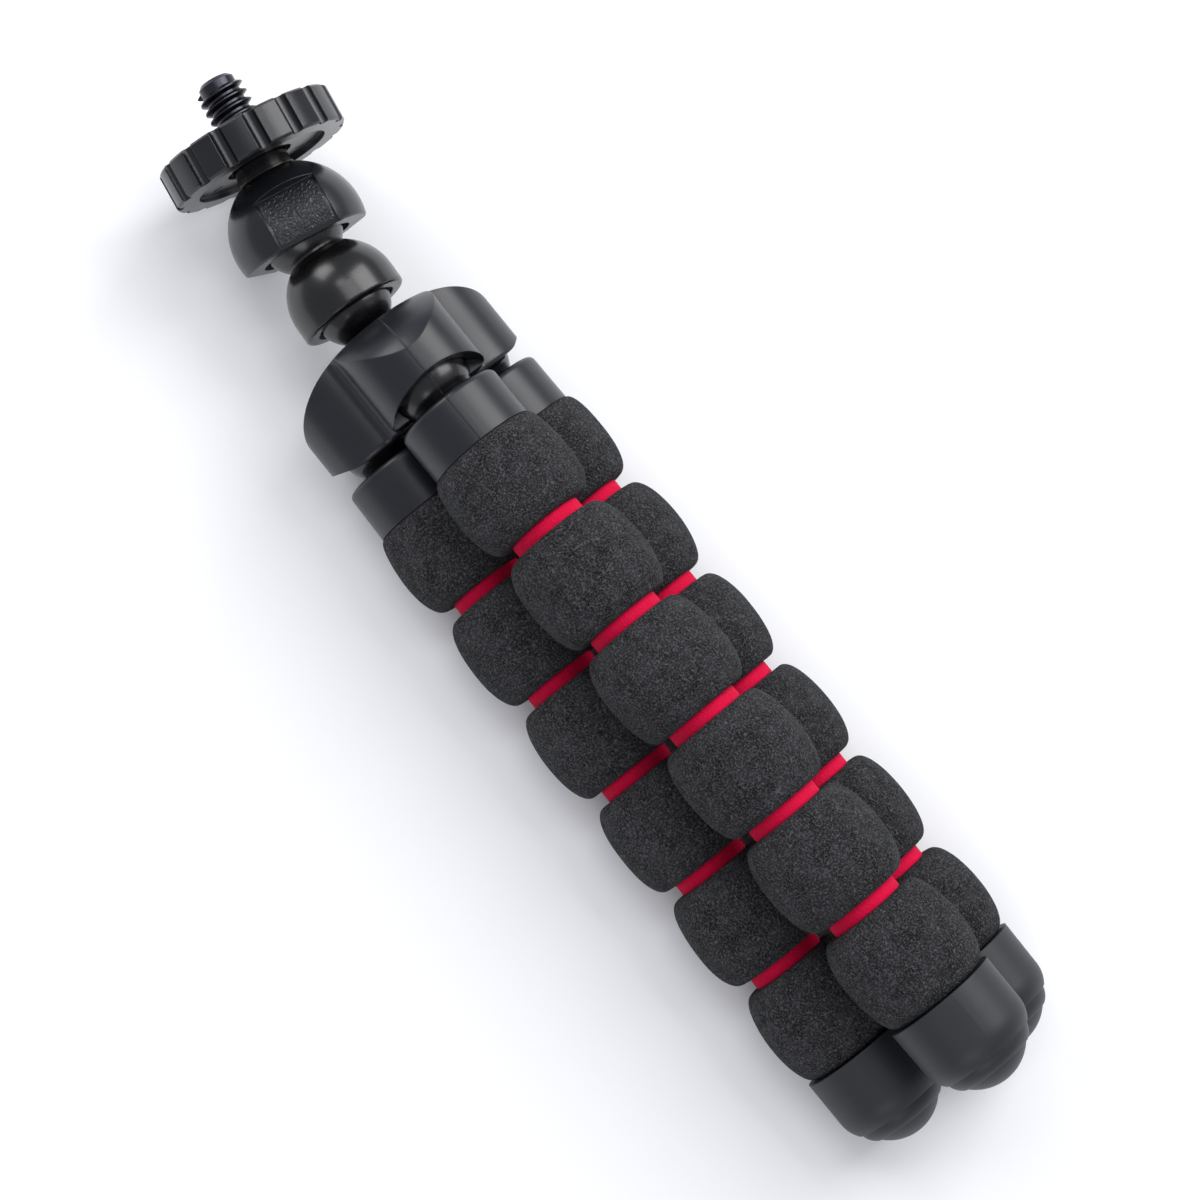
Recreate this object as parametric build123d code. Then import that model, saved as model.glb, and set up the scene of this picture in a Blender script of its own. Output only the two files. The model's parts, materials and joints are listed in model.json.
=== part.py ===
from build123d import *
from math import cos, radians, sin, sqrt, tan
import os

# A small tripod with three bendable foam legs, lying on its side as on a table.
# The feet point along +X and the camera screw along -X, and +Z is up.
# Leg a lies on top, leg b on the table toward -Y and leg c toward +Y.
# The origin is on the table, under the middle of the whole tripod.

os.makedirs("parts", exist_ok=True)

# Fits that several pieces share
turning_gap = 0.1
seat_gap = 0.06
overrun = 2.0

# Camera screw, a quarter inch across with twenty turns to the inch
screw_radius = 3.175
thread_pitch = 1.27
thread_depth = 0.69
thread_crest_share = 0.14
thread_root_share = 0.86
thread_sink = 0.1
screw_reach = 7.6
screw_tip_chamfer = 0.5

# Lock wheel
wheel_radius = 12.4
wheel_height = 5.25
wheel_pad_count = 16
wheel_groove_depth = 0.9
wheel_groove_share = 0.36
wheel_edge = 0.3
wheel_dish_radius = 9.3
wheel_dish_depth = 0.7
wheel_well_depth = 1.6
wheel_well_gap = 0.5
wheel_slot_count = 3
wheel_slot_length = 1.5
wheel_slot_width = 0.5
wheel_slot_place = 7.0
insert_radius = 4.6
insert_seat_gap = 0.04
insert_bore_gap = 0.12

# Neck under the wheel
neck_radius = 3.8
neck_flange_radius = 4.0
neck_flange_height = 0.3
neck_in_well = 1.2
screw_rest = 0.4

# Upper socket, a dome with three grips
socket_radius = 9.15
socket_rim_drop = 2.35
socket_rim_edge = 0.4
socket_to_wheel = 9.6
grip_bow_radius = 7.9
grip_width = 8.5
grip_top = 4.7
grip_ledge_slope = 29
grip_count = 3

# Balls of the head and the seat that grips the upper one
upper_ball_radius = 5.8
lower_ball_radius = 5.4
seat_wall = 0.7
seat_rim_drop = 1.3
seat_rise = 3.4

# Link, a dome over the lower ball that carries the upper ball
link_dome_radius = 7.5
link_dome_rise = 1.3
link_rim_drop = 1.4
link_rim_edge = 0.5
link_mouth_depth = 0.5
link_mouth_gap = 0.5
link_ring_proud = 0.2
link_ring_height = 0.5
link_length = 11.85

# Lower ball stud and its nut, inside the hub
stud_ball_rise = 4.6
stud_shank_radius = 2.2
stud_reach = 8.6
nut_radius = 3.6
nut_height = 2.2
nut_cavity_gap = 0.3

# Hub cover
hub_height = 13.5
hub_rim_drop = 2.6
lobe_over_collar = 0.15
leg_side_gap = 0.444
hub_core_in_circle = 0.8
hub_valley_radius = 1.2
hub_flat_radius = 4.0
hub_dome_margin = 0.4
hub_dome_drop = 9.5
hub_rim_edge = 0.8
arch_side_wall = 0.2
arch_height = 2.6

# Plate under the hub and its screws
plate_radius = 7.6
plate_height = 2.6
plate_inset = 0.3
plate_screw_circle = 6.0
plate_screw_radius = 0.8
plate_screw_length = 6.5
plate_screw_head_radius = 1.5
plate_screw_head_height = 1.0
plate_screw_slot = 0.4

# Leg ball stud
leg_ball_radius = 5.4
ball_to_collar = 3.9
leg_neck_radius = 4.1
leg_neck_height = 0.9
leg_shank_radius = 2.5
leg_barb_radius = 3.1
leg_barb_height = 1.6

# Collar
collar_radius = 7.35
collar_height = 7.25
collar_edge = 0.8
collar_top_wall = 2.4
collar_web = 1.2
collar_skirt_wall = 0.8

# Foam barrels
foam_count = 6
foam_length = 13.67
foam_belly_over_collar = 1.0
first_foam_belly_over_collar = 0.75
foam_end_over_collar = 0.45
foam_flat_radius = 5.1
foam_end_slope = 0.2
foam_corner = 1.5
foam_in_collar = 1.3
foam_gap = 1.75

# Red rings between the barrels
ring_radius = 5.1
ring_edge = 0.2
ring_end_gap = 0.1

# Core wire
wire_radius = 1.5
wire_in_foot = 4.5
wire_in_collar = 1.0

# Foot
foot_over_collar = 0.35
foot_waist_taper = 0.1
foot_wall_height = 6.4
foot_height = 13.2
foot_terrace_radii = [6.65, 5.25]
foot_terrace_heights = [9.1, 10.9]
foot_terrace_step = 0.3
foot_bulge = 0.5

# How each leg lies in the closed bundle, in degrees, one value for each barrel
leg_azimuths = {"a": 0, "b": 240, "c": 120}
leg_splays = [1.5, 0.6, 0.5, 0.5, 0.5, 0.5]
leg_leans = {
    "a": [0, 0.4, 0.9, 0.9, 0.9, 0.9],
    "b": [0, 0, 0, 0, 0, 0],
    "c": [0, 0, 0, 0, 0, 0],
}

# How the head leans at rest, in degrees from the line of the hub
link_lean = 3.9
head_lean = 8.9
head_raise = 5.6

# Sizes worked out from the sizes above
lobe_radius = collar_radius + lobe_over_collar
lobe_circle = (collar_radius + leg_side_gap) / sin(radians(180 / len(leg_azimuths)))
hub_core_radius = lobe_circle - hub_core_in_circle
hub_dome_reach = lobe_circle + lobe_radius + hub_dome_margin - hub_flat_radius
arch_half_width = lobe_radius - arch_side_wall
foam_belly_radius = collar_radius + foam_belly_over_collar
first_foam_belly_radius = collar_radius + first_foam_belly_over_collar
foam_end_radius = collar_radius + foam_end_over_collar
foot_radius = collar_radius + foot_over_collar
foot_waist_radius = foot_radius - foot_waist_taper
socket_seat_height = sqrt(socket_radius ** 2 - neck_flange_radius ** 2)
hub_top = hub_height - hub_rim_drop
lower_ball_height = hub_top + stud_ball_rise
collar_bottom = ball_to_collar + collar_height
foam_start = collar_bottom - foam_in_collar
first_ring_place = foam_start + foam_length + foam_gap / 2
ring_spacing = foam_length + foam_gap
foam_bore_radius = wire_radius + turning_gap
wheel_top = socket_to_wheel + wheel_height
seat_radius = upper_ball_radius + turning_gap + seat_wall
socket_cavity_radius = seat_radius + turning_gap
screw_foot = socket_cavity_radius + screw_rest
plate_bottom = plate_inset - hub_rim_drop
plate_top = plate_bottom + plate_height
nut_bottom = hub_top - stud_reach + seat_gap


def along(radius, height):
    """A point of an outline that is turned about Z."""
    return (radius, 0, height)


def path(*points):
    """Straight runs through points given as radius and height."""
    return Polyline(*[along(*point) for point in points])


def bow(start, middle, end):
    """An arc through three points given as radius and height."""
    return ThreePointArc(along(*start), along(*middle), along(*end))


def turned(*edges):
    """A solid of revolution about Z from the edges of a closed outline."""
    outline = edges[0]
    for edge in edges[1:]:
        outline += edge
    return revolve(make_face(outline), Axis.Z)


def post(radius, bottom, top):
    """An upright cylinder between two heights."""
    return Pos(0, 0, bottom) * Cylinder(radius, top - bottom, align=(Align.CENTER, Align.CENTER, Align.MIN))


def sphere_reach(radius, distance):
    """The other leg of a right triangle: how far a sphere reaches at a distance from its middle."""
    return sqrt(radius * radius - distance * distance)


# Places of the pieces. In the hub's own frame Z points to the camera screw and X up to leg a.

def leaning_plane(origin, direction):
    """A plane whose Z follows a direction and whose X stays close to the hub's X."""
    z_dir = Vector(*direction).normalized()
    x_dir = Vector(1, 0, 0) - z_dir * z_dir.X
    return Plane(origin, x_dir=x_dir.normalized(), z_dir=z_dir)


def leg_planes(leg):
    """One plane for each barrel of a leg: the first at the ball, the others at the rings, Z to the foot."""
    azimuth = leg_azimuths[leg]
    outward = Vector(cos(radians(azimuth)), sin(radians(azimuth)), 0)
    across = Vector(-sin(radians(azimuth)), cos(radians(azimuth)), 0)
    origin = outward * lobe_circle
    planes = []
    for splay, lean in zip(leg_splays, leg_leans[leg]):
        down = Vector(0, 0, -1) + outward * tan(radians(splay)) + across * tan(radians(lean))
        down = down.normalized()
        side = (outward - down * down.dot(outward)).normalized()
        planes.append(Plane(origin, x_dir=side, z_dir=down))
        origin = origin + down * (ring_spacing if len(planes) > 1 else first_ring_place)
    return planes


def link_plane():
    """The middle of the lower ball, with Z along the link."""
    direction = (0, sin(radians(link_lean)), cos(radians(link_lean)))
    return leaning_plane((0, 0, lower_ball_height), direction)


def head_plane():
    """The middle of the upper ball, with Z along the camera screw."""
    middle = link_plane().origin + link_plane().z_dir * link_length
    flat = cos(radians(head_raise))
    lean = radians(head_lean)
    direction = (sin(radians(head_raise)), flat * sin(lean), flat * cos(lean))
    return leaning_plane(middle, direction)


# The head, from the camera screw down

def camera_screw():
    """The threaded rod, from its seat in the socket to its tip."""
    tip = wheel_top + screw_reach
    root = screw_radius - thread_depth
    helix_length = tip - screw_foot - thread_pitch - screw_tip_chamfer
    helix = Pos(0, 0, screw_foot + thread_pitch / 2) * Helix(thread_pitch, helix_length, root - thread_sink)
    foot_half = thread_pitch * thread_root_share / 2
    crest_half = thread_pitch * thread_crest_share / 2
    ridge_height = thread_depth + thread_sink
    tooth = Polyline((0, -foot_half), (ridge_height, -crest_half), (ridge_height, crest_half), (0, foot_half),
                     close=True)
    tooth_face = Plane(helix @ 0, x_dir=(1, 0, 0), z_dir=helix % 0) * make_face(tooth)
    ridge = sweep(tooth_face, path=helix, is_frenet=True)
    core = post(root, screw_foot, tip)
    core = chamfer(core.edges().sort_by(Axis.Z)[-1], screw_tip_chamfer)
    return core + ridge


def lock_wheel():
    """The scalloped wheel, with a shallow dish and three slots in its underside."""
    bottom = socket_to_wheel
    disc = post(wheel_radius, bottom, wheel_top)
    disc = chamfer(disc.edges().filter_by(GeomType.CIRCLE), wheel_edge)
    groove_half = wheel_radius * sin(radians(180 / wheel_pad_count)) * wheel_groove_share
    groove_radius = (groove_half ** 2 + wheel_groove_depth ** 2) / (2 * wheel_groove_depth)
    groove_place = wheel_radius - wheel_groove_depth + groove_radius
    grooves = PolarLocations(groove_place, wheel_pad_count) * post(
        groove_radius, bottom - overrun, wheel_top + overrun)
    dish = post(wheel_dish_radius, bottom - overrun, bottom + wheel_dish_depth)
    well = post(neck_radius + wheel_well_gap, bottom - overrun, bottom + wheel_well_depth)
    seat = post(insert_radius + insert_seat_gap, bottom, wheel_top + overrun)
    slot_top = bottom + wheel_dish_depth * 2
    slot = Pos(0, 0, (bottom + slot_top) / 2) * Box(wheel_slot_length, wheel_slot_width, slot_top - bottom)
    slots = PolarLocations(wheel_slot_place, wheel_slot_count) * slot
    return disc - grooves - dish - well - seat - slots


def wheel_insert():
    """The brass bush in the wheel that runs on the screw."""
    bottom = socket_to_wheel + wheel_well_depth
    return post(insert_radius, bottom, wheel_top) - post(
        screw_radius + insert_bore_gap, bottom - overrun, wheel_top + overrun)


def neck():
    """The short bush between the socket and the wheel."""
    bottom = socket_seat_height
    flange_top = bottom + neck_flange_height
    top = socket_to_wheel + neck_in_well
    body = post(neck_flange_radius, bottom, flange_top) + post(neck_radius, bottom, top)
    return body - post(screw_radius + seat_gap, bottom - overrun, top + overrun)


def grip_cut():
    """What a grip takes off the dome: all that stands out past a wide bow, up to a slanted ledge."""
    bottom = -socket_rim_drop - overrun
    foot = (sphere_reach(grip_bow_radius, bottom), bottom)
    head = (sphere_reach(grip_bow_radius, grip_top), grip_top)
    outside = socket_radius + overrun
    ledge = (outside, grip_top + (outside - head[0]) * tan(radians(grip_ledge_slope)))
    outline = bow(foot, (grip_bow_radius, 0), head) + path(head, ledge, (outside, bottom), foot)
    return extrude(make_face(outline), grip_width / 2, both=True)


def upper_socket():
    """The dome over the upper ball, open below, with three grips."""
    dome = Sphere(socket_radius) & post(socket_radius + overrun, -socket_rim_drop, socket_seat_height)
    dome = fillet(dome.edges().filter_by(GeomType.CIRCLE).sort_by(Axis.Z)[0], socket_rim_edge)
    grips = PolarLocations(0, grip_count) * grip_cut()
    bore = post(screw_radius + seat_gap, 0, socket_seat_height + overrun)
    return dome - grips - Sphere(socket_cavity_radius) - bore


def upper_ball_seat():
    """The friction seat, a belt of a hollow sphere round the upper ball."""
    belt = Sphere(seat_radius) - Sphere(upper_ball_radius + turning_gap)
    return belt & post(seat_radius + overrun, -seat_rim_drop, seat_rise)


def link():
    """The dome over the lower ball, with the upper ball on its top and a low ring between them."""
    ball_distance = link_length - link_dome_rise
    ring_height = (ball_distance ** 2 + link_dome_radius ** 2 - upper_ball_radius ** 2) / (2 * ball_distance)
    ring_radius = sphere_reach(link_dome_radius, ring_height) + link_ring_proud
    ring_start = link_dome_rise + ring_height - link_ring_height / 2
    dome = Pos(0, 0, link_dome_rise) * Sphere(link_dome_radius)
    dome = dome & post(link_dome_radius + overrun, link_dome_rise, link_length)
    body = dome + post(link_dome_radius, -link_rim_drop, link_dome_rise)
    body = fillet(body.edges().filter_by(GeomType.CIRCLE).sort_by(Axis.Z)[0], link_rim_edge)
    body += post(ring_radius, ring_start, ring_start + link_ring_height)
    body += Pos(0, 0, link_length) * Sphere(upper_ball_radius)
    mouth_top = link_mouth_depth - link_rim_drop
    mouth = post(sphere_reach(lower_ball_radius, mouth_top) + link_mouth_gap, -link_rim_drop - overrun, mouth_top)
    return body - Sphere(lower_ball_radius + turning_gap) - mouth


def lower_ball_stud():
    """The lower ball on its shank, which turns in the hub."""
    foot = lower_ball_height - stud_ball_rise + seat_gap
    ball = Pos(0, 0, lower_ball_height) * Sphere(lower_ball_radius)
    ball = ball & post(lower_ball_radius + overrun, foot, lower_ball_height + lower_ball_radius)
    return ball + post(stud_shank_radius, hub_top - stud_reach, foot)


def stud_nut():
    """The six-sided nut on the shank."""
    blank = extrude(RegularPolygon(nut_radius, 6), nut_height)
    return Pos(0, 0, nut_bottom) * (blank - post(stud_shank_radius, -overrun, nut_height + overrun))


# The hub

def lobes(radius):
    """The outline of the hub: a round over each leg, joined in the middle, with soft valleys."""
    outline = Circle(hub_core_radius) + PolarLocations(lobe_circle, len(leg_azimuths)) * Circle(radius)
    return fillet(outline.vertices(), hub_valley_radius)


def hub_dome():
    """The space under the domed top of the hub, turned about its middle."""
    dome_middle = hub_top - hub_dome_drop
    arc = Plane.XZ * EllipticalCenterArc((hub_flat_radius, dome_middle), hub_dome_reach, hub_dome_drop)
    below = path((0, -hub_rim_drop - overrun), (hub_flat_radius + hub_dome_reach, -hub_rim_drop - overrun),
                 (hub_flat_radius + hub_dome_reach, dome_middle))
    above = path((hub_flat_radius, hub_top), (0, hub_top), (0, -hub_rim_drop - overrun))
    return turned(below, arc, above)


def leg_pockets():
    """The spaces of the three leg balls."""
    return PolarLocations(lobe_circle, len(leg_azimuths)) * Sphere(leg_ball_radius + turning_gap)


def arches():
    """The arched openings of the rim, one under each lobe."""
    arch = Rot(0, 90, 0) * extrude(Ellipse(arch_height, arch_half_width), lobe_radius * 2)
    return PolarLocations(lobe_circle, len(leg_azimuths)) * (Pos(0, 0, -hub_rim_drop) * arch)


def hub_cover():
    """The domed cover with three lobes, a pocket and an arch for each leg ball."""
    block = Pos(0, 0, -hub_rim_drop) * extrude(lobes(lobe_radius), hub_height)
    block = fillet(block.faces().sort_by(Axis.Z)[0].outer_wire().edges(), hub_rim_edge)
    nut_space = post(nut_radius + nut_cavity_gap, -hub_rim_drop - overrun, nut_bottom + nut_height + nut_cavity_gap)
    bore = post(stud_shank_radius + turning_gap, 0, hub_top + overrun)
    plate_space = post(plate_radius, -hub_rim_drop - overrun, plate_top + seat_gap)
    cover = (block & hub_dome()) - leg_pockets() - arches()
    return cover - nut_space - bore - plate_space - plate_screw_holes()


def socket_plate():
    """The plate that closes the hub from below and holds the balls in."""
    blank = post(plate_radius - turning_gap, plate_bottom, plate_top)
    return blank - leg_pockets() - arches() - plate_screw_heads() - plate_screw_holes()


def plate_screw_spots():
    """The three places between the lobes where the plate is screwed on."""
    return PolarLocations(plate_screw_circle, len(leg_azimuths), start_angle=180 / len(leg_azimuths))


def plate_screw_holes():
    """The holes for the screws of the plate."""
    top = plate_bottom + plate_screw_length + seat_gap
    return plate_screw_spots() * post(plate_screw_radius + seat_gap, plate_bottom - overrun, top)


def plate_screw_heads():
    """The round seats for the heads of those screws."""
    top = plate_bottom + plate_screw_head_height + seat_gap
    return plate_screw_spots() * post(plate_screw_head_radius + seat_gap, plate_bottom - overrun, top)


def hub_screws():
    """The three screws of the plate, as separate solids."""
    head = post(plate_screw_head_radius, plate_bottom, plate_bottom + plate_screw_head_height)
    screw = head + post(plate_screw_radius, plate_bottom, plate_bottom + plate_screw_length)
    slot = Box(plate_screw_head_radius * 3, plate_screw_slot, plate_screw_slot * 2)
    return Compound(plate_screw_spots() * (screw - Pos(0, 0, plate_bottom) * slot))


# One leg, each piece in the frame of its own barrel

def ball_stud():
    """The leg ball, its neck, and the shank that snaps into the collar."""
    collar_top = ball_to_collar - seat_gap
    shank_end = ball_to_collar + collar_top_wall + turning_gap + leg_barb_height
    ball = Sphere(leg_ball_radius)
    cone_start = collar_top - leg_neck_height
    neck_cone = turned(path((0, 0), (sphere_reach(leg_ball_radius, cone_start), cone_start),
                            (leg_neck_radius, collar_top), (0, collar_top), (0, 0)))
    shank = post(leg_shank_radius, cone_start, shank_end)
    barb_start = shank_end - leg_barb_height
    barb = turned(path((0, barb_start), (leg_barb_radius, barb_start), (leg_shank_radius, shank_end),
                       (0, shank_end), (0, barb_start)))
    return (ball & post(leg_ball_radius + overrun, -leg_ball_radius, collar_top)) + neck_cone + shank + barb


def collar():
    """The cap over the top of a leg."""
    top = ball_to_collar
    blank = post(collar_radius, top, collar_bottom)
    blank = fillet(blank.edges().filter_by(GeomType.CIRCLE).sort_by(Axis.Z)[0], collar_edge)
    bore = post(leg_shank_radius + turning_gap, top - overrun, top + collar_top_wall + overrun)
    cavity = post(leg_barb_radius + 2 * turning_gap, top + collar_top_wall, foam_start - collar_web)
    skirt = post(collar_radius - collar_skirt_wall, foam_start, collar_bottom + overrun)
    wire_hole = post(wire_radius + seat_gap, foam_start - collar_web - overrun, foam_start + overrun)
    return blank - bore - cavity - skirt - wire_hole


def foam_barrel(belly_radius, start):
    """One barrel of foam, with hardly coned ends, from a start height on."""
    end = start + foam_length
    low = (foam_end_radius, start + foam_end_slope)
    high = (foam_end_radius, end - foam_end_slope)
    barrel = turned(
        path((foam_bore_radius, start), (foam_flat_radius, start), low),
        bow(low, (belly_radius, (start + end) / 2), high),
        path(high, (foam_flat_radius, end), (foam_bore_radius, end), (foam_bore_radius, start)),
    )
    rims = barrel.edges().filter_by(GeomType.CIRCLE).filter_by(
        lambda edge: abs(edge.radius - foam_end_radius) < seat_gap)
    return fillet(rims, foam_corner)


def first_foam():
    """The barrel whose top end is squeezed into the collar."""
    barrel = foam_barrel(first_foam_belly_radius, foam_start)
    skirt = post(collar_radius + overrun, foam_start - overrun, collar_bottom + seat_gap)
    plug = post(collar_radius - collar_skirt_wall - seat_gap, foam_start - overrun, collar_bottom + seat_gap)
    return barrel - (skirt - plug)


def foam_ring():
    """The red ring between two barrels, in the frame of its own middle."""
    half = foam_gap / 2 - ring_end_gap
    ring = post(ring_radius, -half, half)
    ring = fillet(ring.edges().filter_by(GeomType.CIRCLE), ring_edge)
    return ring - post(foam_bore_radius, -half - overrun, half + overrun)


def foot():
    """The rubber foot: a straight wall, then two low terraces and a round end."""
    outline = path((0, 0), (foot_radius, 0), (foot_waist_radius, foot_wall_height))
    start = (foot_waist_radius, foot_wall_height)
    for radius, height in zip(foot_terrace_radii, foot_terrace_heights):
        middle = ((start[0] + radius) / 2 + foot_bulge / 2, (start[1] + height) / 2)
        outline += bow(start, middle, (radius, height))
        start = (radius - foot_terrace_step, height)
        outline += path((radius, height), start)
    round_radius = (start[0] ** 2 + (foot_height - start[1]) ** 2) / (2 * (foot_height - start[1]))
    half_way = start[0] / 2
    middle = (half_way, foot_height - round_radius + sphere_reach(round_radius, half_way))
    outline += bow(start, middle, (0, foot_height))
    outline += path((0, foot_height), (0, 0))
    return revolve(make_face(outline), Axis.Z) - post(wire_radius + seat_gap, -overrun, wire_in_foot)


def core_wire(planes):
    """The wire through a whole leg, straight in each barrel and turned at each ring."""
    wire = None
    for place, plane in enumerate(planes):
        first = place == 0
        last = place == len(planes) - 1
        bottom = foam_start - wire_in_collar if first else 0
        length = first_ring_place if first else ring_spacing
        top = foam_gap / 2 + foam_length + wire_in_foot if last else length
        rod = plane.location * post(wire_radius, bottom, top)
        if not first:
            rod += plane.location * Sphere(wire_radius)
        wire = rod if wire is None else wire + rod
    return wire


def leg_pieces(leg):
    """All pieces of one leg, in the hub's frame."""
    planes = leg_planes(leg)
    first = planes[0].location
    pieces = {
        f"leg_{leg}_ball_stud": first * ball_stud(),
        f"leg_{leg}_collar": first * collar(),
        f"leg_{leg}_foam_1": first * first_foam(),
        f"leg_{leg}_core_wire": core_wire(planes),
    }
    for number in range(2, foam_count + 1):
        frame = planes[number - 1].location
        pieces[f"leg_{leg}_ring_{number - 1}"] = frame * foam_ring()
        pieces[f"leg_{leg}_foam_{number}"] = frame * foam_barrel(foam_belly_radius, foam_gap / 2)
    foot_start = foam_gap / 2 + foam_length + seat_gap
    pieces[f"leg_{leg}_foot"] = planes[-1].location * Pos(0, 0, foot_start) * foot()
    return pieces


def head_pieces():
    """All pieces of the head and the hub, in the hub's frame."""
    head = head_plane().location
    return {
        "camera_screw": head * camera_screw(),
        "lock_wheel": head * lock_wheel(),
        "wheel_insert": head * wheel_insert(),
        "head_neck": head * neck(),
        "upper_socket": head * upper_socket(),
        "upper_ball_seat": head * upper_ball_seat(),
        "link": link_plane().location * link(),
        "lower_ball_stud": lower_ball_stud(),
        "stud_nut": stud_nut(),
        "hub_cover": hub_cover(),
        "socket_plate": socket_plate(),
        "hub_screws": hub_screws(),
    }


def lying_location(pieces):
    """Lays the tripod on the table, with the origin under the middle of its box."""
    lying = Plane((0, 0, 0), x_dir=(0, 0, 1), z_dir=(-1, 0, 0)).location
    box = Compound([lying * piece for piece in pieces.values()]).bounding_box()
    return Pos(-box.center().X, -box.center().Y, -box.min.Z) * lying


def main():
    pieces = head_pieces()
    for leg in leg_azimuths:
        pieces.update(leg_pieces(leg))
    lying = lying_location(pieces)
    for name, piece in pieces.items():
        export_step(lying * piece, f"parts/{name}.step")
    return pieces, lying


if __name__ == "__main__":
    main()
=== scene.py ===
import json
import math
import bmesh
import bpy
from mathutils import Matrix, Vector, noise

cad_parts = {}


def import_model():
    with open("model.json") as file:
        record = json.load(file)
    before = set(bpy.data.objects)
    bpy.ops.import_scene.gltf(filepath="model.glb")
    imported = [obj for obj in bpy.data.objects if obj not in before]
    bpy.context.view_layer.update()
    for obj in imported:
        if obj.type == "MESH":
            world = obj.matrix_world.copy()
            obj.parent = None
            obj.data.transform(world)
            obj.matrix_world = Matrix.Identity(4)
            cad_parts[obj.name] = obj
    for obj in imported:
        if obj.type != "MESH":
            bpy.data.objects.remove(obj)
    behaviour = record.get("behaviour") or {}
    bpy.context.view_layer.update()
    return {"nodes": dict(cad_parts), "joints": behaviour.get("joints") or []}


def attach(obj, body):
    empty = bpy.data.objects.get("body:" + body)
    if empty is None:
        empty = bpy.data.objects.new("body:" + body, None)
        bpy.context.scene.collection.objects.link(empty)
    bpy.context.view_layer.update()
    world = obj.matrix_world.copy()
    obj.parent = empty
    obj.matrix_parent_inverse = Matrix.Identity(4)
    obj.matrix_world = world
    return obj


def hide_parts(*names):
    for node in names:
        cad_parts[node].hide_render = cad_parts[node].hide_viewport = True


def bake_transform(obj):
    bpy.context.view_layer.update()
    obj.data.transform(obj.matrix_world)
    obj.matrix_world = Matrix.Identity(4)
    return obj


# The scene is in metres, in the frame of the CAD model. Sizes below are in millimetres unless a comment says
# otherwise, and MM turns them into metres.
MM = 0.001
LEGS = "abc"
BARRELS = 6

# Foam barrels along the leg. The first one starts FOAM_START from the middle of the leg's ball.
FOAM_START = 9.85
FOAM_IN_COLLAR = 1.3
FOAM_LENGTH = 13.67
FOAM_GAP = 1.75

# Foam barrels across the leg, as radii. The plug is the part of the first barrel that sits in the collar.
FOAM_BORE = 1.6
FOAM_FLAT = 6.1
FOAM_BELLY = 8.6
FOAM_PLUG = 6.4
FOAM_END_RADII = (3.0, 4.6, 5.5)
COLLAR_RADIUS = 7.35
COLLAR_STEP = 0.15

# How fast a barrel swells from its end, and how blunt its belly is
SWELL_RISE = 2.1
SWELL_BLUNT = 2.3

# Where barrels press on each other or on the table, and how softly the foam gives way there
TOUCH_GAP = 0.06
TOUCH_SOFT = 0.5
TABLE_GAP = 0.02
TABLE_SOFT = 0.25
PRESSED_FACING = 0.2
PRESSED_FROM_RADIUS = 5.9

# The slight lumps of hand-cut foam. They grow from LUMP_FROM_RADIUS over LUMP_FADE, and no two barrels share them.
LUMP_HEIGHT = 0.16
LUMPS_PER_METRE = 130
LUMP_FROM_RADIUS = 5
LUMP_FADE = 2
LUMP_SHIFT_PER_LEG = 10

# Red rings
RING_RADIUS = 5.15
RING_BORE = 1.6
RING_EDGE = 0.22
RING_IN_FOAM = 0.12

# Core wires
WIRE_RADIUS = 1.5
WIRE_TIP = 0.001
WIRE_IN_COLLAR = 1.0
WIRE_IN_FOOT = 4.4

# Rows and sides of the turned meshes
BARREL_SIDES = 112
BARREL_ROWS = 26
BARREL_BORE_ROWS = 6
RING_SIDES = 72
RING_ROWS = 6
RING_BORE_ROWS = 4
WIRE_SIDES = 20
WIRE_END_ROWS = 6
SAME_POINT = 1e-6

# How round the edges of moulded pieces look
EDGE_ROUND = 0.22
EDGE_SAMPLES = 4

# Mould lines, and how far they stand off outward in degrees
SEAM_WIDTH = 0.13
SOCKET_SEAM_WIDTH = 0.08
SEAM_HEIGHT = 0.1
SEAM_CORE = 0.3
SEAM_LEAN = 6.0

# The grained grips of the upper socket, from the middle of its ball: where the grain begins and where it is full
GRIP_BOTTOM = (-1.9, -1.5)
GRIP_TOP = (4.6, 4.2)
GRIP_SIDE = (4.0, 3.7)
GRIP_FACE = (5.6, 5.9)
GRIP_TURNS = (0, 120, 240)

# The table fades out between these distances from the tripod's middle, in metres, and lies TABLE_DROP below it
TABLE_FADE_START = 0.2
TABLE_FADE_END = 0.55
TABLE_DROP = 0.05

# The camera of the photograph, in metres, with the lens and sensor in millimetres as the camera takes them
CAMERA_PLACE = (0.0256, -0.0690, 0.4043)
CAMERA_RIGHT = (0.62833, 0.77126, 0.10183)
CAMERA_UP = (-0.77585, 0.61163, 0.15477)
CAMERA_LENS = 92.25
CAMERA_SENSOR = 36.0
CAMERA_NEAR = 0.01
CAMERA_FAR = 20.0
PHOTO_PIXELS = 1200
SAMPLES = 192

# Lamps: place and target in metres, width and height in metres, power in watts
TRIPOD = (0.0, 0.0, 0.02)
HEAD = (-0.05, 0.0, 0.02)
LAMPS = {
    "key": ((-0.05, 0.42, 0.42), TRIPOD, (0.4, 0.4), 2.6),
    "top": ((-0.16, 0.08, 0.55), TRIPOD, (0.3, 0.12), 0.45),
    "rim": ((0.35, -0.25, 0.35), TRIPOD, (0.3, 0.2), 0.4),
    "head": ((-0.5, -0.06, 0.3), HEAD, (0.25, 0.25), 1.0),
}
SKY_STRENGTH = 0.54
SKY_TINT = "#f2f5ff"
WHITE = "#ffffff"


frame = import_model()


def linear(hex_colour):
    """An sRGB hex colour as linear RGBA."""
    channels = [int(hex_colour[i:i + 2], 16) / 255 for i in (1, 3, 5)]
    turned = [c / 12.92 if c <= 0.04045 else ((c + 0.055) / 1.055) ** 2.4 for c in channels]
    return (*turned, 1.0)


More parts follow.
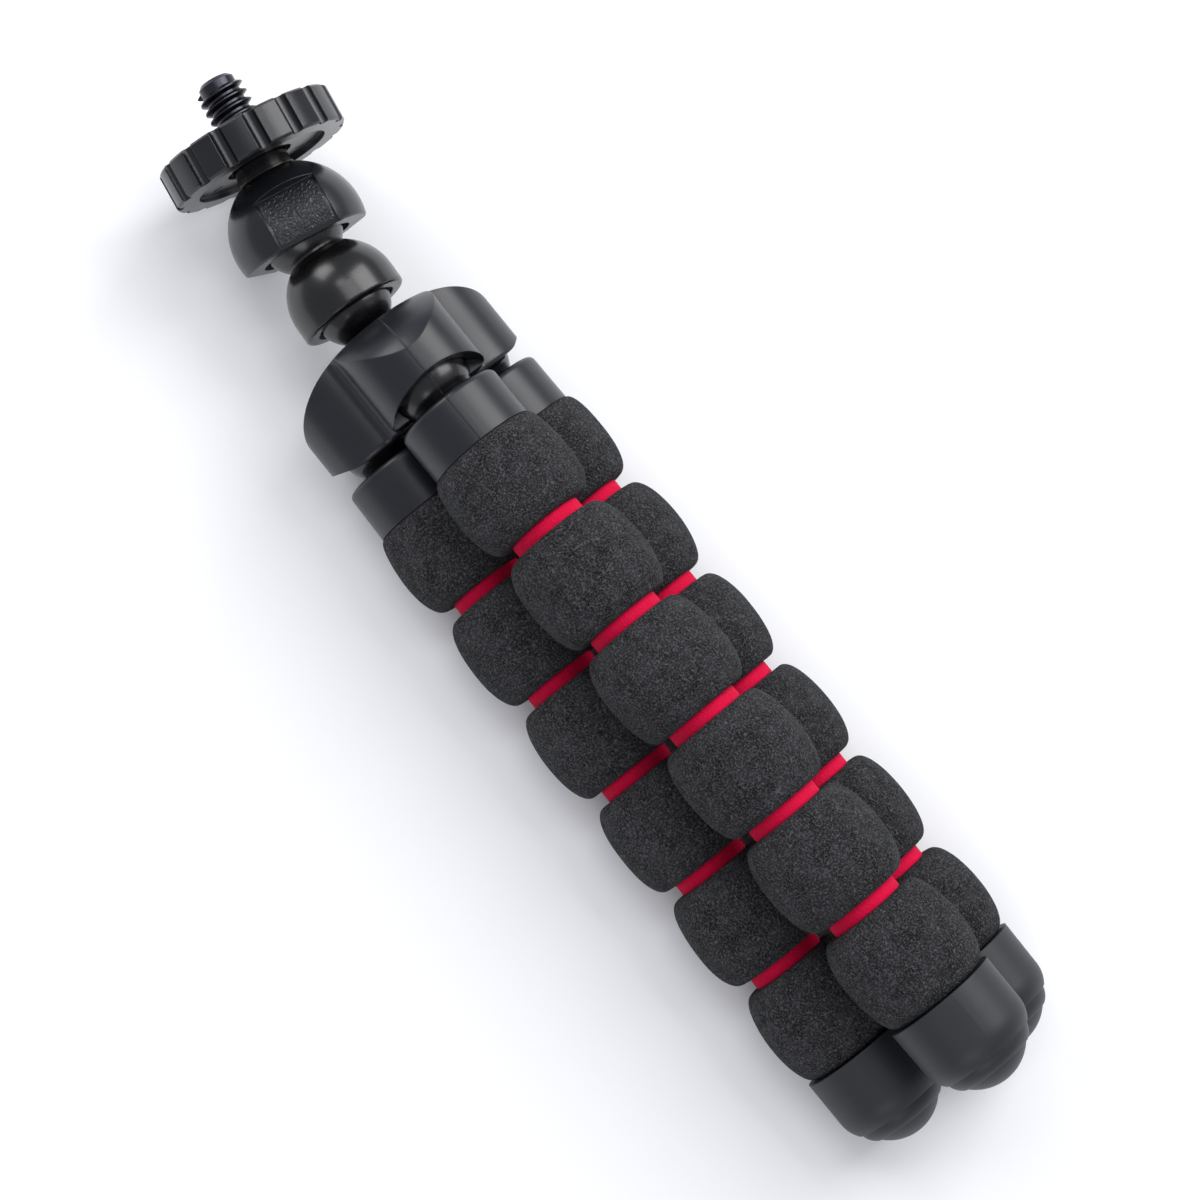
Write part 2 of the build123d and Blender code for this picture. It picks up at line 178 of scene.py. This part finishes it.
def unit(values):
    return Vector(values).normalized()


# Material trees

def add(tree, kind, *values, out=0, **named):
    """Adds a node and gives back one of its outputs.

    Values fill its inputs in order. A name with a capital is an input, any other name is a setting of the node.
    A value that is another node's output becomes a link, and any other a constant on the input itself.
    """
    node = tree.nodes.new("ShaderNode" + kind)
    inputs = dict(enumerate(values))
    for name, value in named.items():
        if name[0].isupper():
            inputs[name.replace("_", " ")] = value
        else:
            setattr(node, name, value)
    for place, value in inputs.items():
        if isinstance(value, bpy.types.NodeSocket):
            tree.links.new(value, node.inputs[place])
        else:
            node.inputs[place].default_value = value
    return node.outputs[out] if node.outputs else node


# Settings that many nodes share. SOFTLY lets a value pass softly from 0 to 1 between two limits, or from 1 to 0
# where the first limit is the higher.
SOFTLY = {"interpolation_type": "SMOOTHSTEP"}
TIMES = {"operation": "MULTIPLY"}
PLUS = {"operation": "ADD"}
MINUS = {"operation": "SUBTRACT"}


def new_material(name):
    """A material with an empty tree, and the point on the surface that its patterns read."""
    material = bpy.data.materials.new(name)
    material.use_nodes = True
    tree = material.node_tree
    tree.nodes.clear()
    return material, tree, add(tree, "TexCoord", out="Object")


def surface(tree, **inputs):
    """Puts the shader on the material's surface."""
    add(tree, "OutputMaterial", Surface=add(tree, "BsdfPrincipled", **inputs))


def pattern_scale(size):
    """The scale of a pattern whose cells or lumps are this many millimetres across."""
    return 1.0 / (size * MM)


def along_axis(tree, point, origin, axis):
    """How far a point lies along an axis from an origin, in metres."""
    moved = add(tree, "VectorMath", point, tuple(origin), **MINUS)
    return add(tree, "VectorMath", moved, tuple(axis), operation="DOT_PRODUCT", out="Value")


def off_plane(tree, point, origin, normal):
    """How far a point lies from a plane, in metres, whichever side it is on."""
    return add(tree, "Math", along_axis(tree, point, origin, normal), operation="ABSOLUTE")


# The colour that a noise has on average
NOISE_MIDDLE = (0.5, 0.5, 0.5)


def jostled(tree, point, lump, push):
    """A point pushed about, so that a pattern over it doesn't look drawn with a ruler."""
    wobble = add(tree, "TexNoise", Vector=point, Scale=pattern_scale(lump), Detail=1.0, out="Color")
    centred = add(tree, "VectorMath", wobble, NOISE_MIDDLE, **MINUS)
    scaled = add(tree, "VectorMath", centred, operation="SCALE", Scale=push * MM)
    return add(tree, "VectorMath", point, scaled, **PLUS)


# Materials

SHINE_PATCH = 6.0
SHINE_CHANGE = 0.05
SHADE_CHANGE = 0.35
LEATHER_CELL = 0.55
LEATHER_JOSTLE = (0.5, 0.3)
LEATHER_GROOVE = (0.02, 0.25)
LEATHER_DEPTH = 0.07
LEATHER_DULL = 0.08
PLASTIC_IOR = 1.5
COAT_ROUGHNESS = 0.15


def plastic(name, shades, roughness, grain=0.35, grain_depth=0.006, coat=0.0, seams=(), grips=None):
    """Injection moulded plastic, such as ABS, and moulded rubber.

    The eye gets a dark piece with soft broad highlights that waver a little, edges that catch a thin line of light,
    a raised mould line where the two halves of the mould met, and on grips the worm-like grain of leather. The
    grain of such a mould is finer than the render can show, so it is drawn about a third of a millimetre across.
    """
    material, tree, point = new_material(name)
    patches = add(tree, "TexNoise", Vector=point, Scale=pattern_scale(SHINE_PATCH), Detail=3.0)
    fine = add(tree, "TexNoise", Vector=point, Scale=pattern_scale(grain), Detail=2.0)
    dark, light = shades
    colour = add(tree, "MixRGB", add(tree, "Math", patches, SHADE_CHANGE, **TIMES), linear(dark), linear(light))
    shine = add(tree, "MapRange", patches, To_Min=roughness - SHINE_CHANGE, To_Max=roughness + SHINE_CHANGE)
    rounded = add(tree, "Bevel", samples=EDGE_SAMPLES, Radius=EDGE_ROUND * MM)
    normal = add(tree, "Bump", Height=fine, Distance=grain_depth * MM, Normal=rounded)
    if grips:
        mask = grips(tree, point)
        cells = add(tree, "TexVoronoi", feature="DISTANCE_TO_EDGE", Vector=jostled(tree, point, *LEATHER_JOSTLE),
                    Scale=pattern_scale(LEATHER_CELL))
        leather = add(tree, "Math", add(tree, "MapRange", cells, *LEATHER_GROOVE, **SOFTLY), mask, **TIMES)
        normal = add(tree, "Bump", Height=leather, Distance=LEATHER_DEPTH * MM, Normal=normal)
        shine = add(tree, "Math", shine, add(tree, "Math", mask, LEATHER_DULL, **TIMES), **PLUS)
    for origin, across, width in seams:
        line = add(tree, "MapRange", off_plane(tree, point, origin, across), width * MM, width * SEAM_CORE * MM,
                   **SOFTLY)
        normal = add(tree, "Bump", Height=line, Distance=SEAM_HEIGHT * MM, Normal=normal)
    surface(tree, Base_Color=colour, Roughness=shine, Normal=normal, IOR=PLASTIC_IOR, Coat_Weight=coat,
            Coat_Roughness=COAT_ROUGHNESS)
    return material


# Sizes and pushes of the foam's patterns, as shares of its cell, and how much of each makes the surface
CELL_JOSTLE = (1.0, 0.9)
CELL_SHARE = 0.5
WORM_JOSTLE = (1.5, 1.0)
WORM_SIZE = 0.8
WORM_SHARE = 0.7
FOAM_RIMS = (0.42, 0.9)
FOAM_CLOUD = 2.2
FOAM_CLOUD_SHARE = 0.5
FOAM_TONES = (0.2, 0.85)
FOAM_SHINE = 0.25


def cut_foam(name, dark, light, cell, depth, roughness=0.9, painted_pit_shade=0.5):
    """Cut rubber foam with open cells.

    The eye gets a dull, dry, velvety surface, with small crooked cells whose mouths get painted shade and whose rims
    get a painted highlight. The finest cells are too small to show, so all are drawn about a quarter of a millimetre
    across.
    """
    material, tree, point = new_material(name)
    cells = add(tree, "TexVoronoi", feature="F1", Scale=pattern_scale(cell), out="Distance",
                Vector=jostled(tree, point, *(cell * share for share in CELL_JOSTLE)))
    worms = add(tree, "TexNoise", Scale=pattern_scale(cell * WORM_SIZE), Detail=2.0, Roughness=0.6,
                Vector=jostled(tree, point, *(cell * share for share in WORM_JOSTLE)))
    clouds = add(tree, "TexNoise", Vector=point, Scale=pattern_scale(FOAM_CLOUD), Detail=3.0)
    mixed = add(tree, "Math", add(tree, "Math", cells, CELL_SHARE, **TIMES),
                add(tree, "Math", worms, WORM_SHARE, **TIMES), **PLUS)
    height = add(tree, "MapRange", mixed, *FOAM_RIMS, **SOFTLY)
    # Painted shade in the cell mouths and painted highlight on their rims, plus random clouds of tone
    pit_shade_and_tone = add(tree, "Math", add(tree, "Math", height, painted_pit_shade, **TIMES),
               add(tree, "Math", clouds, FOAM_CLOUD_SHARE, **TIMES), **PLUS)
    colour = add(tree, "MixRGB", add(tree, "MapRange", pit_shade_and_tone, *FOAM_TONES), linear(dark), linear(light))
    surface(tree, Base_Color=colour, Normal=add(tree, "Bump", Height=height, Distance=depth * MM),
            Roughness=roughness, Specular_IOR_Level=FOAM_SHINE)
    return material


METAL_WEAR = 0.4
METAL_WEAR_DEPTH = 0.004
METAL_WEAR_SHINE = (-0.08, 0.1)


def metal(name, colour, roughness):
    """Turned or drawn metal, bare or plated.

    The eye gets bright, hard reflections that are broken up by fine uneven wear.
    """
    material, tree, point = new_material(name)
    wear = add(tree, "TexNoise", Vector=point, Scale=pattern_scale(METAL_WEAR), Detail=4.0, Roughness=0.6)
    least, most = (roughness + change for change in METAL_WEAR_SHINE)
    surface(tree, Base_Color=linear(colour), Metallic=1.0,
            Roughness=add(tree, "MapRange", wear, To_Min=least, To_Max=most),
            Normal=add(tree, "Bump", Height=wear, Distance=METAL_WEAR_DEPTH * MM))
    return material


# Frames of the pieces, read from the joints

JOINTS = {joint["name"]: joint for joint in frame["joints"]}


def joint_point(name):
    return Vector(JOINTS[name]["pos_m"])


def joint_axis(name):
    return unit(JOINTS[name]["axis"])


def leg_points(leg):
    """The leg's ball and the middles of its rings."""
    return [joint_point(f"leg_{leg}_swing")] + [joint_point(f"leg_{leg}_bend_{i}") for i in range(1, BARRELS)]


def leg_frames(leg):
    """For each barrel: where it starts, the way it runs, and outward."""
    points = leg_points(leg)
    swing = joint_axis(f"leg_{leg}_swing")
    frames = []
    for i in range(BARRELS):
        last = min(i, BARRELS - 2)
        run = (points[last + 1] - points[last]).normalized()
        outward = swing.cross(run)
        outward = (outward - run * outward.dot(run)).normalized()
        frames.append((points[i], run, outward))
    return frames


FRAMES = {leg: leg_frames(leg) for leg in LEGS}
HEAD_POINT = joint_point("head_upper_tilt")
HEAD_AXIS = joint_axis("head_upper_pan")
HEAD_UP = (Vector((0, 0, 1)) - HEAD_AXIS * HEAD_AXIS.z).normalized()
HEAD_SIDE = HEAD_AXIS.cross(HEAD_UP).normalized()


# Pieces in mesh code

def mesh_object(name, vertices, faces, material, smooth=True):
    mesh = bpy.data.meshes.new(name)
    mesh.from_pydata([tuple(v) for v in vertices], [], faces)
    work = bmesh.new()
    work.from_mesh(mesh)
    bmesh.ops.recalc_face_normals(work, faces=work.faces)
    work.to_mesh(mesh)
    work.free()
    mesh.polygons.foreach_set("use_smooth", [smooth] * len(mesh.polygons))
    mesh.materials.append(material)
    piece = bpy.data.objects.new(name, mesh)
    bpy.context.scene.collection.objects.link(piece)
    return piece


def lathe(outline, place, sides, shape=None):
    """Turns a closed outline of (radius, height) in millimetres about a barrel's axis."""
    origin, run, outward = place
    across = run.cross(outward)
    vertices = []
    for side in range(sides):
        angle = 2 * math.pi * side / sides
        ray = outward * math.cos(angle) + across * math.sin(angle)
        for radius, height in outline:
            point = origin + run * (height * MM) + ray * (radius * MM)
            vertices.append(shape(point, ray, radius, height) if shape else point)
    count = len(outline)
    faces = []
    for side in range(sides):
        following = (side + 1) % sides
        for i in range(count):
            j = (i + 1) % count
            faces.append((side * count + i, side * count + j, following * count + j, following * count + i))
    return vertices, faces


def swell(radius, end, half):
    """The side of a barrel from its end to its middle. Half is how far the middle is, negative where it runs back."""
    side = []
    for row in range(BARREL_ROWS + 1):
        share = 1 - math.cos(math.pi / 2 * row / BARREL_ROWS)
        fullness = (1 - max(0.0, 1 - share) ** SWELL_RISE) ** (1 / SWELL_BLUNT)
        side.append((radius + (FOAM_BELLY - radius) * fullness, end + half * share))
    return side


def barrel_outline(first):
    """The closed outline of a barrel: its flat or plugged end, its belly, its other end and its bore."""
    start = FOAM_START if first else FOAM_GAP / 2
    end = start + FOAM_LENGTH
    if first:
        edge = start + FOAM_IN_COLLAR + TOUCH_GAP
        edge_radius = COLLAR_RADIUS - COLLAR_STEP
        near_end = [(FOAM_BORE, start), (FOAM_PLUG, start), (FOAM_PLUG, edge)]
    else:
        edge = start
        edge_radius = FOAM_FLAT
        near_end = [(radius, start) for radius in (FOAM_BORE, *FOAM_END_RADII)]
    half = (end - edge) / 2
    sides = swell(edge_radius, edge, half) + swell(FOAM_FLAT, end, -half)[::-1]
    far_end = [(radius, end) for radius in (*reversed(FOAM_END_RADII), FOAM_BORE)]
    bore = [(FOAM_BORE, end + (start - end) * row / BARREL_BORE_ROWS) for row in range(1, BARREL_BORE_ROWS)]
    return thinned(near_end + sides + far_end + bore)


def thinned(points):
    """Drops points that repeat the one before."""
    kept = [points[0]]
    for point in points[1:]:
        if abs(point[0] - kept[-1][0]) + abs(point[1] - kept[-1][1]) > SAME_POINT:
            kept.append(point)
    return kept


def soft_limit(value, limit, softness):
    """Keeps a value under a limit, bending over softly just before it."""
    start = limit - softness
    if value <= start:
        return value
    return start + softness * math.tanh((value - start) / softness)


def foam_shaper(leg, index):
    """Presses a barrel flat where it meets its neighbours or the table, and makes it a little uneven."""
    origin, run, _ = FRAMES[leg][index]
    others = [FRAMES[other][index] for other in LEGS if other != leg]
    shift = Vector((LEGS.index(leg) * LUMP_SHIFT_PER_LEG + index, 0, 0))

    def shape(point, ray, radius, height):
        if radius < PRESSED_FROM_RADIUS:
            return point
        fade = min(1, (radius - LUMP_FROM_RADIUS) / LUMP_FADE)
        reach = radius + noise.noise(point * LUMPS_PER_METRE + shift) * LUMP_HEIGHT * fade
        middle = origin + run * (height * MM)
        for place, direction, _ in others:
            near = place + direction * (middle - place).dot(direction)
            toward = near - middle
            limit = toward.length / MM / 2 - TOUCH_GAP
            facing = ray.dot(toward.normalized())
            if facing > PRESSED_FACING:
                reach = min(reach, soft_limit(reach * facing, limit, TOUCH_SOFT) / facing)
        if -ray.z > PRESSED_FACING:
            limit = (middle.z / MM - TABLE_GAP) / -ray.z
            reach = min(reach, soft_limit(reach, limit, TABLE_SOFT))
        return middle + ray * (reach * MM)

    return shape


def foam_barrels(leg, material):
    for index, place in enumerate(FRAMES[leg]):
        vertices, faces = lathe(barrel_outline(index == 0), place, BARREL_SIDES, foam_shaper(leg, index))
        piece = mesh_object(f"barrel_{leg}_{index + 1}", vertices, faces, material)
        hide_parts(f"leg_{leg}_foam_{index + 1}")
        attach(piece, f"leg_{leg}_{index + 1}")


def red_rings(leg, material):
    """The rings between the barrels, built where they sit at rest."""
    half = FOAM_GAP / 2 + RING_IN_FOAM
    wall = half - RING_EDGE
    outline = [(RING_BORE, half - 2 * half * row / RING_BORE_ROWS) for row in range(RING_BORE_ROWS + 1)]
    outline += [(RING_RADIUS - RING_EDGE, -half)]
    outline += [(RING_RADIUS, -wall + 2 * wall * row / RING_ROWS) for row in range(RING_ROWS + 1)]
    outline += [(RING_RADIUS - RING_EDGE, half)]
    for index in range(1, BARRELS):
        origin, run, _ = FRAMES[leg][index]
        vertices, faces = lathe(outline, FRAMES[leg][index], RING_SIDES)
        piece = mesh_object(f"ring_{leg}_{index}", vertices, faces, material)
        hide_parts(f"leg_{leg}_ring_{index}")
        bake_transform(piece)


def wires(leg, material):
    """A straight length of the wire in each barrel, with round ends that meet in the rings."""
    arc = [math.pi / 2 * row / WIRE_END_ROWS for row in range(WIRE_END_ROWS + 1)]
    for index, place in enumerate(FRAMES[leg]):
        first = index == 0
        last = index == BARRELS - 1
        start = FOAM_START - WIRE_IN_COLLAR if first else 0.0
        barrel_end = (FOAM_START if first else FOAM_GAP / 2) + FOAM_LENGTH
        end = barrel_end + (WIRE_IN_FOOT if last else FOAM_GAP / 2)
        outline = [(WIRE_TIP, start - WIRE_RADIUS)]
        outline += [(WIRE_RADIUS * math.sin(a), start - WIRE_RADIUS * math.cos(a)) for a in arc[1:]]
        outline += [(WIRE_RADIUS * math.cos(a), end + WIRE_RADIUS * math.sin(a)) for a in arc[:-1]]
        outline += [(WIRE_TIP, end + WIRE_RADIUS)]
        vertices, faces = lathe(outline, place, WIRE_SIDES)
        piece = mesh_object(f"wire_{leg}_{index + 1}", vertices, faces, material)
        if first:
            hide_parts(f"leg_{leg}_core_wire")
        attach(piece, f"leg_{leg}_{index + 1}")


# Finishes of the pieces

def grip_mask(tree, point):
    """1 on the three grips of the upper socket, inside their edges."""
    def within(distance, limits):
        return add(tree, "MapRange", distance, *(limit * MM for limit in limits), **SOFTLY)

    height = along_axis(tree, point, HEAD_POINT, HEAD_AXIS)
    level = add(tree, "Math", within(height, GRIP_BOTTOM), within(height, GRIP_TOP), **TIMES)
    grips = 0.0
    for turn in GRIP_TURNS:
        spin = Matrix.Rotation(math.radians(turn), 3, HEAD_AXIS)
        side = off_plane(tree, point, HEAD_POINT, spin @ HEAD_SIDE)
        out = along_axis(tree, point, HEAD_POINT, spin @ HEAD_UP)
        grip = add(tree, "Math", within(side, GRIP_SIDE), within(out, GRIP_FACE), **TIMES)
        grips = add(tree, "Math", grips, grip, operation="MAXIMUM")
    return add(tree, "Math", grips, level, **TIMES)


def leg_seam(leg):
    """The mould line of a leg's plastic pieces: a plane along the leg that leans a little off outward."""
    origin, run, outward = FRAMES[leg][0]
    across = Matrix.Rotation(math.radians(SEAM_LEAN), 3, run) @ run.cross(outward)
    return origin, across, SEAM_WIDTH


def dress(node, material):
    """Gives a CAD node a better material."""
    target = frame["nodes"][node]
    target.data.materials.clear()
    target.data.materials.append(material)


# Matt ABS looks near black under a wide pale sheen. The hub and the collars shine a little more than the plate.
MATT = ("#121319", "#1a1b22")
plate_abs = plastic("matt_abs", MATT, roughness=0.42)
hub_abs = plastic("hub_matt_abs", MATT, roughness=0.34, seams=[leg_seam("a")])
collar_abs = {leg: plastic(f"collar_matt_abs_{leg}", MATT, roughness=0.36, seams=[leg_seam(leg)]) for leg in LEGS}

# Balls and link come from a polished mould, so they look blacker and show small bright spots of the lamps.
POLISHED = ("#060607", "#0a0a0b")
POLISH = {"roughness": 0.27, "grain_depth": 0.002, "coat": 0.15}
polished_abs = plastic("polished_abs", POLISHED, **POLISH)
ball_abs = {leg: plastic(f"ball_polished_abs_{leg}", POLISHED, seams=[leg_seam(leg)], **POLISH) for leg in LEGS}

# The socket is smooth beside its grained grips, and the grooves of the wheel show sharp streaks of light.
socket_abs = plastic("socket_grained_abs", ("#131418", "#1b1c22"), roughness=0.26, grips=grip_mask,
                     seams=[(HEAD_POINT, HEAD_SIDE, SOCKET_SEAM_WIDTH)])
wheel_abs = plastic("wheel_abs", ("#0f1014", "#16171d"), roughness=0.24)

# Rubber is greyer and duller than the ABS, and nylon is a milky white.
rubber = plastic("foot_rubber", ("#1d1e22", "#25262b"), roughness=0.5, grain=0.25, grain_depth=0.008)
nylon = plastic("white_nylon", ("#d8d6cd", "#e2e0d8"), roughness=0.5)

# The blackened screw shows grey crests on a dark thread. The metals inside keep their own bright colours.
screw_steel = metal("blackened_steel", "#3a3a40", roughness=0.28)
brass = metal("turned_brass", "#c9a55a", roughness=0.3)
zinc = metal("zinc_plated_steel", "#b9bcc0", roughness=0.35)
wire_metal = metal("aluminium_wire", "#b4b6b8", roughness=0.4)

# The charcoal foam gets strong painted shade in its cell mouths and painted highlight on their rims.
# The red foam is cut flatter, with little of that painted shade, and reads as one even bright red.
charcoal = cut_foam("charcoal_foam", dark="#060606", light="#525255", cell=0.27, depth=0.3, painted_pit_shade=0.7)
crimson = cut_foam("red_foam", dark="#d8003a", light="#f4004a", cell=0.3, depth=0.05, roughness=0.85, painted_pit_shade=0.3)

DRESSES = {
    "camera_screw": screw_steel, "lock_wheel": wheel_abs, "wheel_insert": brass, "head_neck": polished_abs,
    "upper_socket": socket_abs, "upper_ball_seat": nylon, "link": polished_abs, "lower_ball_stud": polished_abs,
    "stud_nut": zinc, "hub_cover": hub_abs, "socket_plate": plate_abs, "hub_screws": zinc,
}
for node, material in DRESSES.items():
    dress(node, material)
for leg in LEGS:
    dress(f"leg_{leg}_ball_stud", ball_abs[leg])
    dress(f"leg_{leg}_collar", collar_abs[leg])
    dress(f"leg_{leg}_foot", rubber)
    foam_barrels(leg, charcoal)
    red_rings(leg, crimson)
    wires(leg, wire_metal)


# Camera, table and light

def area_light(name, place, target, size, power):
    data = bpy.data.lights.new(name, "AREA")
    data.shape = "RECTANGLE"
    data.size, data.size_y = size
    data.energy = power
    lamp = bpy.data.objects.new(name, data)
    bpy.context.scene.collection.objects.link(lamp)
    lamp.location = place
    lamp.rotation_euler = (Vector(target) - Vector(place)).to_track_quat("-Z", "Y").to_euler()


def photo_camera():
    data = bpy.data.cameras.new("photo_camera")
    data.lens = CAMERA_LENS
    data.sensor_width = CAMERA_SENSOR
    data.clip_start = CAMERA_NEAR
    data.clip_end = CAMERA_FAR
    camera = bpy.data.objects.new("photo_camera", data)
    bpy.context.scene.collection.objects.link(camera)
    right = unit(CAMERA_RIGHT)
    back = right.cross(unit(CAMERA_UP)).normalized()
    up = back.cross(right)
    turn = Matrix((right, up, back)).transposed()
    camera.matrix_world = Matrix.Translation(CAMERA_PLACE) @ turn.to_4x4()
    bpy.context.scene.camera = camera


def table():
    """A table of plain pale paper. The eye gets the tripod's soft shadow on it, and no edge against the white."""
    reach = TABLE_FADE_END
    corners = [(-reach, -reach, 0), (reach, -reach, 0), (reach, reach, 0), (-reach, reach, 0)]
    material, tree, point = new_material("table_paper")
    distance = add(tree, "VectorMath", point, operation="LENGTH", out="Value")
    surface(tree, Base_Color=linear("#f7f7f8"), Roughness=0.8, Specular_IOR_Level=0.1,
            Alpha=add(tree, "MapRange", distance, TABLE_FADE_END, TABLE_FADE_START, **SOFTLY))
    floor = mesh_object("table", corners, [(0, 1, 2, 3)], material, False)
    floor.location.z = -TABLE_DROP * MM


def world():
    """White for the camera's view, and a softer white as the light from all round."""
    sky = bpy.data.worlds.new("studio")
    bpy.context.scene.world = sky
    sky.use_nodes = True
    tree = sky.node_tree
    tree.nodes.clear()
    seen = add(tree, "LightPath", out="Is Camera Ray")
    strength = add(tree, "MapRange", seen, To_Min=SKY_STRENGTH, To_Max=1.0)
    tint = add(tree, "MixRGB", seen, linear(SKY_TINT), linear(WHITE))
    add(tree, "OutputWorld", Surface=add(tree, "Background", Color=tint, Strength=strength))


def render_settings():
    scene = bpy.context.scene
    scene.render.engine = "CYCLES"
    scene.cycles.samples = SAMPLES
    scene.cycles.use_denoising = True
    scene.render.resolution_x = PHOTO_PIXELS
    scene.render.resolution_y = PHOTO_PIXELS
    scene.view_settings.view_transform = "Standard"


photo_camera()
table()
world()
for name, lamp in LAMPS.items():
    area_light(name, *lamp)
render_settings()
